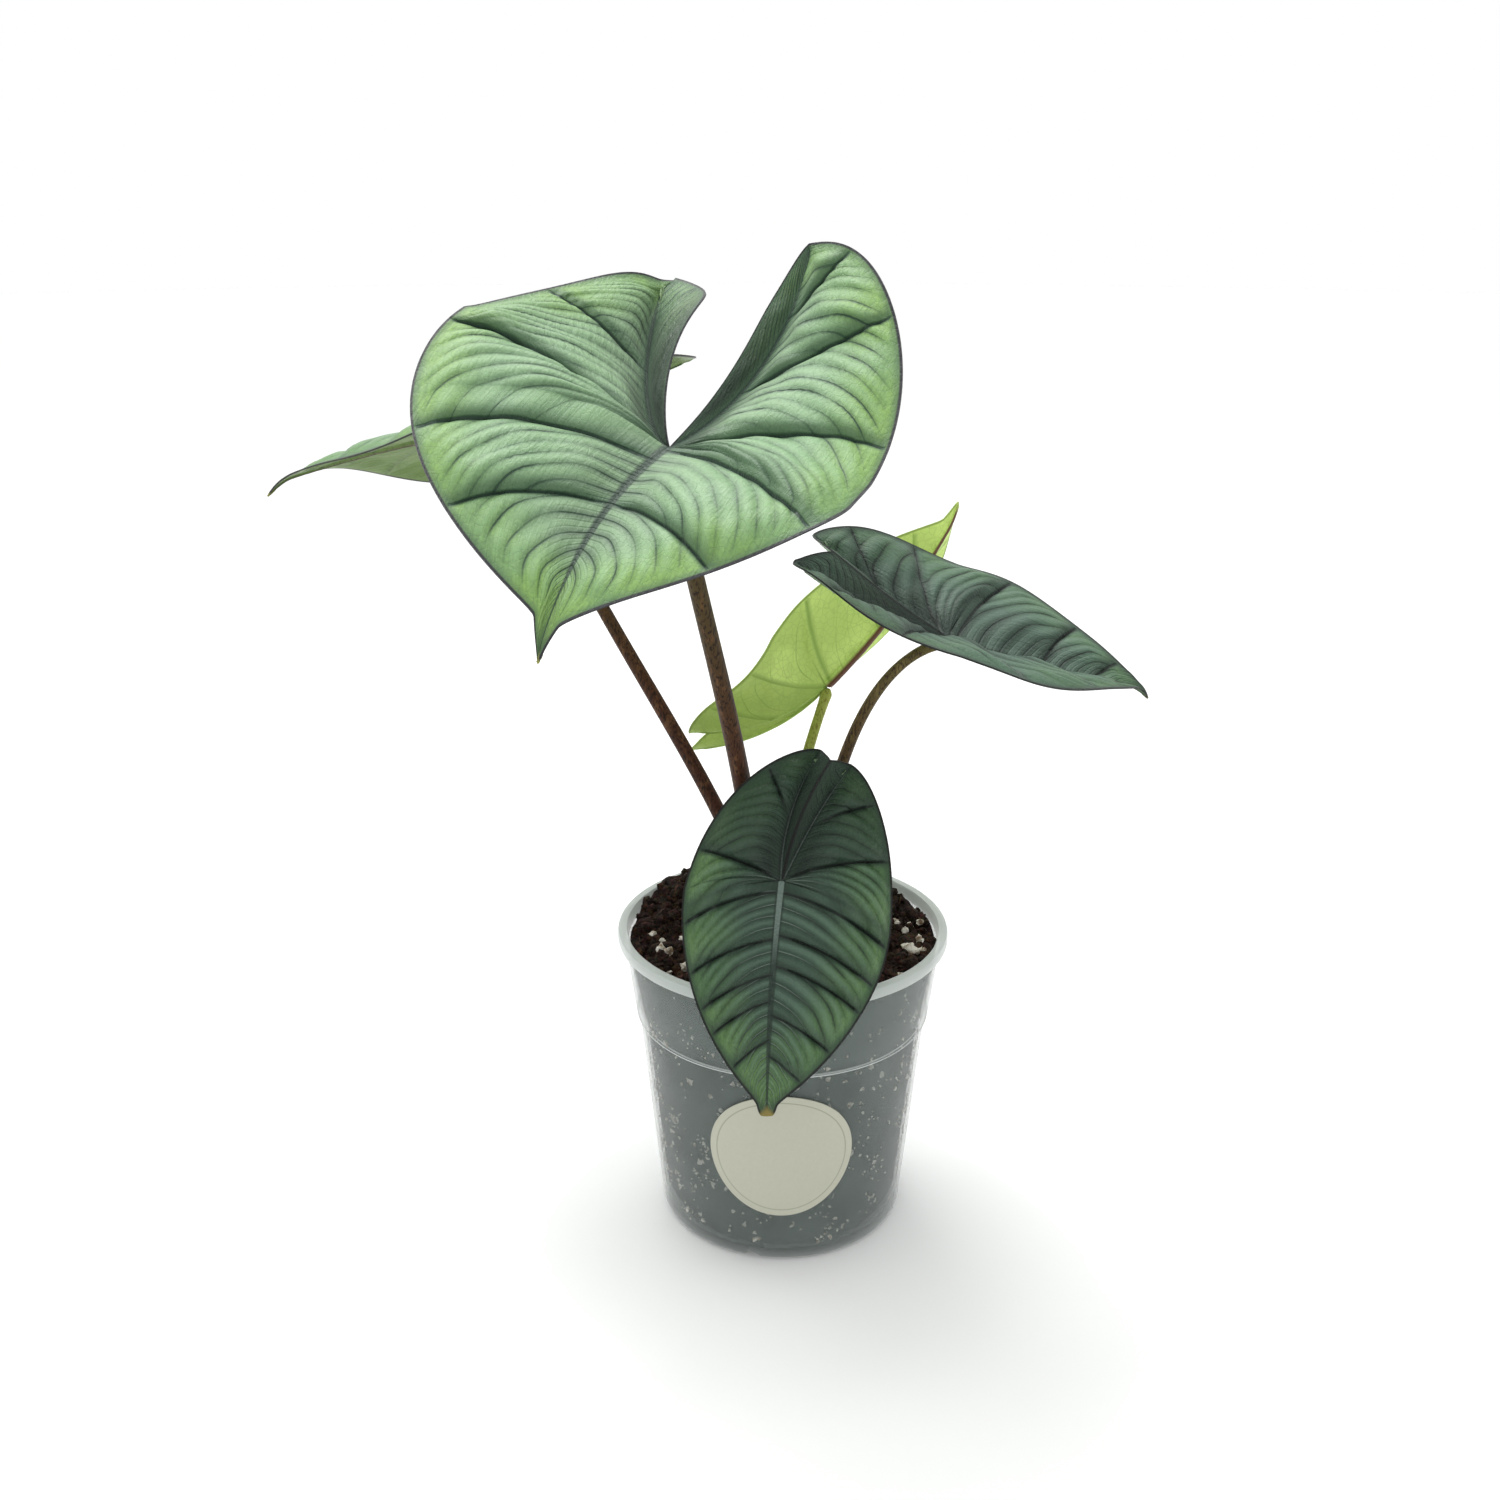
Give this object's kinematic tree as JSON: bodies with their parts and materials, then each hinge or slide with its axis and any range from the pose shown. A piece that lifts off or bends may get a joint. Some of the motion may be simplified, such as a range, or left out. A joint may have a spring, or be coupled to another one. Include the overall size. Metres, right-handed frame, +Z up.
{
  "type": "potted alocasia",
  "caption": "Young alocasia house plant with silvery green arrow-shaped leaves on slim mottled stalks, standing in a tapered frosted nursery pot of potting mix.",
  "frame": {"origin": "centre of the pot's flat underside", "axes": "+Z up along the pot's axis, -Y towards the front leaf and the label, +X to the right seen from the front"},
  "size_m": [0.3039, 0.2413, 0.3512],
  "materials": {
    "pot_plastic": "frosted translucent moulded polypropylene",
    "label_paper": "matt coated paper",
    "potting_mix": "loose fibrous crumb",
    "corm_skin": "fibrous leaf scars",
    "dark_stalk": "satin, finely mottled",
    "young_stalk": "satin, finely mottled",
    "olive_stalk": "satin, finely mottled",
    "silver_leaf": "satin with a silvery bloom",
    "back_leaf": "satin",
    "young_leaf": "satin, soft new growth",
    "grey_leaf": "satin",
    "dark_leaf": "satin"
  },
  "bodies": {
    "root": {"pot": "pot_plastic", "label": "label_paper", "soil": "potting_mix", "crown": "corm_skin", "petiole_large": "dark_stalk", "petiole_back": "dark_stalk", "petiole_young": "young_stalk", "petiole_right": "olive_stalk", "petiole_front": "olive_stalk", "blade_large": "silver_leaf", "blade_back": "back_leaf", "blade_young": "young_leaf", "blade_right": "grey_leaf", "blade_front": "dark_leaf"}
  },
  "joints": []
}
